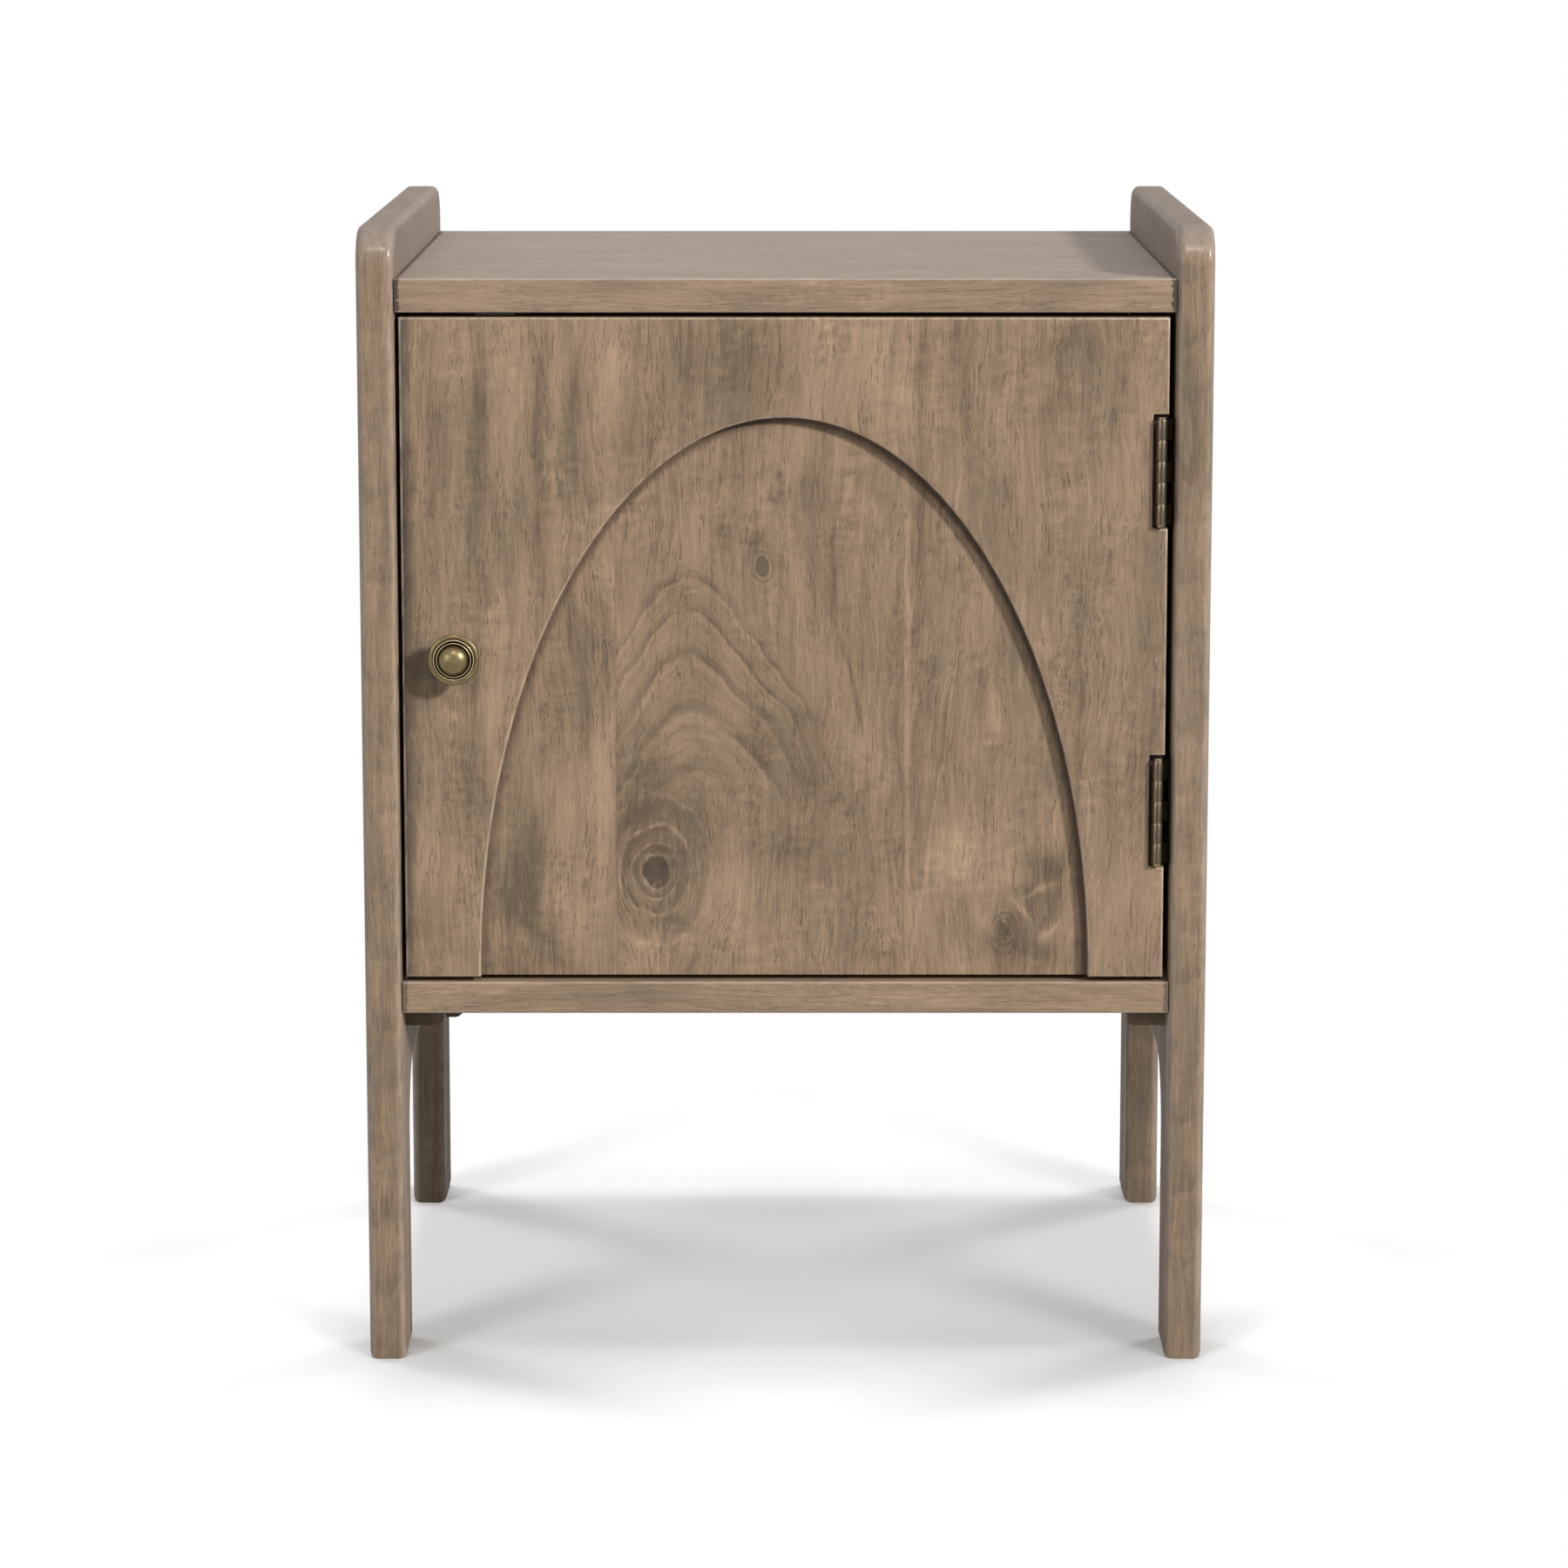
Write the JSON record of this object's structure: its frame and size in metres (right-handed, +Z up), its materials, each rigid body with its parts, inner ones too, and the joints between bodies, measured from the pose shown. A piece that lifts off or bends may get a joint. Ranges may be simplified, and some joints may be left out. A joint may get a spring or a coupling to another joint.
{
  "type": "nightstand",
  "caption": "Wooden bedside cabinet with slab side panels cut into legs, a raised gallery round the top and a hinged door with an arched recess and a turned knob.",
  "frame": {"origin": "on the floor, under the middle of the object's bounding box, with the knob counted in its depth", "axes": "+X to the hinge side (right seen from the front), +Y from the door to the back panel, +Z up"},
  "size_m": [0.559, 0.482, 0.76],
  "materials": {
    "wood_panel": "weathered grey-brown stain, satin",
    "wood_top": "weathered grey-brown stain, satin",
    "wood_door": "weathered grey-brown stain, satin",
    "wood_inner": "thin stain, matte",
    "dowel_wood": "bare, fluted",
    "knob_brass": "antique brass, satin",
    "hinge_bronze": "dark antique brass, satin",
    "screw_steel": "zinc plated",
    "catch_plastic": "dark brown, moulded",
    "magnet": "dark grey ferrite"
  },
  "bodies": {
    "case": {"side_panel_left": "wood_panel", "side_panel_right": "wood_panel", "top_board": "wood_top", "bottom_board": "wood_panel", "back_panel": "wood_inner", "shelf": "wood_inner", "shelf_pins": "screw_steel", "batten_left": "wood_inner", "batten_right": "wood_inner", "packing_strip_left": "wood_inner", "top_dowels": "dowel_wood", "bottom_dowels": "dowel_wood", "batten_screws": "screw_steel", "back_panel_screws": "screw_steel", "catch_body": "catch_plastic", "catch_magnet": "magnet", "catch_screws": "screw_steel", "hinge_upper_frame_leaf": "hinge_bronze", "hinge_lower_frame_leaf": "hinge_bronze", "hinge_upper_pin": "hinge_bronze", "hinge_lower_pin": "hinge_bronze", "frame_leaf_screws": "hinge_bronze"},
    "door": {"door_board_left": "wood_door", "door_board_middle": "wood_door", "door_board_right": "wood_door", "door_arch_frame": "wood_door", "hinge_upper_door_leaf": "hinge_bronze", "hinge_lower_door_leaf": "hinge_bronze", "door_leaf_screws": "hinge_bronze", "knob": "knob_brass", "knob_screw": "screw_steel", "strike_plate": "screw_steel", "strike_screw": "screw_steel"}
  },
  "joints": [
    {"name": "door_hinge", "type": "hinge", "parent": "case", "child": "door", "pos_m": [0.2457, -0.217, 0.4817], "axis": [0, 0, 1], "range_deg": [0, 175]}
  ]
}
